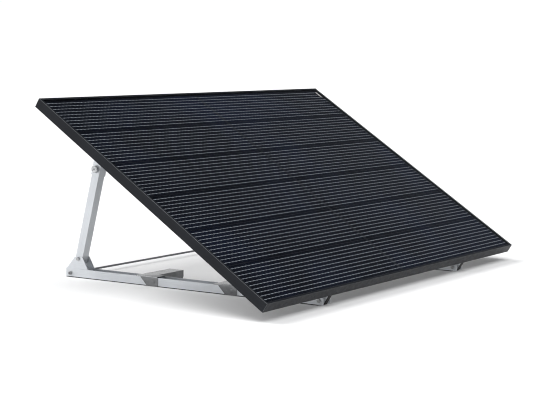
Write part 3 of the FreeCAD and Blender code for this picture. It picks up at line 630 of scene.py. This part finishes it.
def cable_gland(name, heading):
    """Moulded gland: a round flange, a ribbed clamping nut and a tapered rubber lip."""
    low, high = box_in(f"cable_gland_{name}", PANEL_SPACE)
    axis = SLOPE * heading
    start = low.y if heading == 1 else -high.y
    end = high.y if heading == 1 else -low.y
    middle = PANEL_SPACE @ Vector(((low.x + high.x) / 2, 0, (low.z + high.z) / 2))
    radius = (high.x - low.x) / 2
    body = 0.75 * radius

    def ribbed(far, out):
        return lambda turn: (far, out + 0.35 * MM * max(0, math.cos(16 * turn)) ** 2)

    mesh = bmesh.new()
    lathe(mesh, middle, axis,
          [(start, GLAND_BORE), (start, radius - 0.5 * MM),
           (start + 0.5 * MM, radius), (start + 3.2 * MM, radius),
           (start + 4 * MM, radius - 0.8 * MM), (start + 4 * MM, body - 0.6 * MM),
           (start + 5 * MM, body - 0.6 * MM), ribbed(start + 5 * MM, body - 0.4 * MM),
           ribbed(end - 4 * MM, body - 0.4 * MM), (end - 3.2 * MM, body - 0.9 * MM),
           (end - 2.4 * MM, body - 1.2 * MM), (end, GLAND_LIP), (end, GLAND_BORE)], 96, True)
    return finish_piece(f"cable_gland_{name}_detail", mesh, finishes["black_plastic"], "panel",
                        [f"cable_gland_{name}"])


cable_gland("lower", -1)
cable_gland("upper", 1)


# ---------------------------------------------------------------- stand
def bend(mesh, chosen, radius):
    """Rounds the chosen edges of a folded sheet."""
    edges = [edge for edge in mesh.edges if chosen(*(vertex.co for vertex in edge.verts))]
    if edges:
        bmesh.ops.bevel(mesh, geom=edges, offset=radius, segments=5, profile=0.5, affect="EDGES",
                        clamp_overlap=True)


def ballast_folds(node):
    """The two folds of a ballast bracket: shelf to wall, and shelf to side flange."""
    low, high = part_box(node)
    low, high = Vector(low), Vector(high)
    outer_x = low.x if low.x + high.x < 0 else high.x

    def shape(mesh):
        bend(mesh, lambda one, two: all(abs(end.z - high.z) < SAME_PLACE for end in (one, two))
             and (all(abs(end.y - low.y) < SAME_PLACE for end in (one, two))
                  or all(abs(end.x - outer_x) < SAME_PLACE for end in (one, two))), FOLD_RADIUS)
    return shape


for side in SIDES:
    rounded_copy(f"base_rail_{side}", 0.5 * MM)
    rounded_copy(f"rail_pad_{side}", 0.6 * MM)
    rounded_copy(f"foot_bracket_{side}", 0.5 * MM)
    for place in ("front", "rear"):
        node = f"ballast_bracket_{side}_{place}"
        rounded_copy(node, 0.35 * MM, None, ballast_folds(node))
    rounded_copy(f"strut_tube_{side}", 1.2 * MM, upright, segments=3)
    rounded_copy(f"strut_sleeve_{side}", 0.5 * MM, upright)
    rounded_copy(f"clamp_boss_{side}", 0.4 * MM)
    rounded_copy(f"strut_top_spacers_{side}", 0.6 * MM)
    fasteners(f"strut_top_bolt_{side}", ACROSS)
rounded_copy("hinge_spacers", 0.6 * MM)
fasteners("hinge_bolts", ACROSS)
fasteners("ballast_bracket_bolts", ACROSS)
fasteners("strut_foot_bolts", ACROSS)
fasteners("tie_rod_nuts", ACROSS)


def rivets():
    """Domed rivet heads on the floor of the foot brackets."""
    mesh = bmesh.new()
    for shell in shells("foot_rivets"):
        middle = Vector(shell_centre(shell))
        low = min(point.z for point in shell) - middle.z
        high = max(point.z for point in shell) - middle.z
        head = max(point.x for point in shell) - middle.x
        turns = [step * math.pi / 16 for step in range(1, 8)]
        dome = [(high - (1 - math.cos(turn)) * RIVET_HEAD, head * math.sin(turn)) for turn in turns]
        lathe(mesh, middle, Vector((0, 0, 1)),
              [(low, 0), (low, RIVET_SHANK), (high - RIVET_SEAT, RIVET_SHANK), (high - RIVET_SEAT, head),
               *reversed(dome), (high, 0)], 32)
    finish_piece("foot_rivets_detail", mesh, finishes["mill_aluminium"], "stand", ["foot_rivets"])


def tie_rod():
    """Threaded rod across the rear of the stand."""
    low, high = (Vector(corner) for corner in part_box("rear_tie_rod"))
    mesh = bmesh.new()
    middle = Vector((0, (low.y + high.y) / 2, (low.z + high.z) / 2))
    threaded(mesh, middle, ACROSS, low.x, high.x - THREAD_GAP, (high.y - low.y) / 2, steps=12)
    finish_piece("rear_tie_rod_detail", mesh, finishes["dark_steel"], "stand", ["rear_tie_rod"])


def knob(side, sign):
    """Turned clamp knob with scalloped grip, dished face and socket."""
    node = f"clamp_knob_{side}"
    low, high = box_in(node, STRUT_SPACE)
    radius = (high.z - low.z) / 2
    centre = STRUT_SPACE @ Vector((0, (low.y + high.y) / 2, (low.z + high.z) / 2))
    outer = high.x if sign > 0 else -low.x
    inner = low.x if sign > 0 else -high.x
    back = outer - KNOB_THICKNESS

    def star(far, shrink):
        def ring(turn):
            away = (turn + math.pi / SCALLOPS) % (2 * math.pi / SCALLOPS) - math.pi / SCALLOPS
            across = SCALLOP_CIRCLE * math.sin(away)
            out = radius
            if abs(across) < SCALLOP_RADIUS:
                out = min(out, SCALLOP_CIRCLE * math.cos(away) - math.sqrt(SCALLOP_RADIUS ** 2 - across ** 2))
            return far, out - shrink
        return ring

    mesh = bmesh.new()
    lathe(mesh, centre, ACROSS * sign,
          [(back, 0), (back, 9 * MM), star(back, 0.9 * MM), star(back + 0.3 * MM, 0.3 * MM),
           star(back + 0.9 * MM, 0), star(outer - 1.3 * MM, 0), star(outer - 0.5 * MM, 0.4 * MM),
           star(outer, 1.3 * MM), (outer, 9.6 * MM),
           (outer - 0.5 * MM, 9.1 * MM), (outer - 0.5 * MM, 6.2 * MM),
           (outer - 0.1 * MM, 5.8 * MM), (outer - 0.1 * MM, 3.6 * MM), (outer - 0.5 * MM, 3.2 * MM),
           (outer - 3 * MM, 3.2 * MM), (outer - 3.6 * MM, 0)], 192)
    threaded(mesh, centre, ACROSS * sign, inner, back - 0.1 * MM, M8_RADIUS)
    finish_piece(f"{node}_detail", mesh, finishes["knob_aluminium"], f"knob_{side}", [node])


rivets()
tie_rod()
for side, sign in SIDES.items():
    knob(side, sign)


# ---------------------------------------------------------------- studio
def floor():
    """Pale seamless floor."""
    mesh = bmesh.new()
    bmesh.ops.create_grid(mesh, x_segments=2, y_segments=2, size=FLOOR_SIZE)
    data = bpy.data.meshes.new("floor")
    mesh.to_mesh(data)
    mesh.free()
    made = Finish("floor", (0.86, 0.86, 0.86), 0.0, 0.9, 0.1)
    made.shader.inputs["Emission Color"].default_value = (1, 1, 1, 1)
    made.shader.inputs["Emission Strength"].default_value = FLOOR_GLOW
    made.colour(made.mix(made.span(made.noise(3), 0, 1), (0.86, 0.86, 0.86), (0.89, 0.89, 0.89)))
    data.materials.append(made.material)
    piece = bpy.data.objects.new("floor", data)
    scene.collection.objects.link(piece)


def soft_sun(name, towards, spread, strength):
    """A distant, very wide light, so that the floor is lit evenly."""
    data = bpy.data.lights.new(name, "SUN")
    data.angle = math.radians(spread)
    data.energy = strength
    lamp = bpy.data.objects.new(name, data)
    lamp.rotation_euler = Vector(towards).to_track_quat("Z", "Y").to_euler()
    scene.collection.objects.link(lamp)


def surroundings():
    """White round the horizon, dark towards the zenith, like a lit cyclorama."""
    world = bpy.data.worlds.new("studio")
    scene.world = world
    world.use_nodes = True
    tree = world.node_tree
    background = next(item for item in tree.nodes if item.type == "BACKGROUND")
    direction = tree.nodes.new("ShaderNodeTexCoord")
    parts = tree.nodes.new("ShaderNodeSeparateXYZ")
    ramp = tree.nodes.new("ShaderNodeValToRGB")
    tree.links.new(direction.outputs["Generated"], parts.inputs["Vector"])
    tree.links.new(parts.outputs["Z"], ramp.inputs["Fac"])
    tree.links.new(ramp.outputs["Color"], background.inputs["Color"])
    stops = ramp.color_ramp.elements
    zenith = stops[1]
    stops[0].position, stops[0].color = 0.08, (1, 1, 1, 1)
    zenith.position, zenith.color = 0.64, (0.035, 0.039, 0.047, 1)
    stops.new(0.34).color = (0.20, 0.209, 0.225, 1)
    background.inputs["Strength"].default_value = 1.02


floor()
surroundings()
soft_sun("key", (-0.25, 0.8, 0.8), 45, 2.9)
soft_sun("fill", (-0.35, -0.4, 1.0), 50, 2.25)

camera_data = bpy.data.cameras.new("camera")
camera_data.lens = 96.44
camera_data.sensor_width = 36
camera = bpy.data.objects.new("camera", camera_data)
camera.location = (-4.53888, -3.17283, 0.83497)
camera.rotation_euler = (math.radians(84.059), 0, math.radians(-55.226))
scene.collection.objects.link(camera)
scene.camera = camera
scene.view_settings.view_transform = "Standard"
scene.cycles.filter_width = 1.1
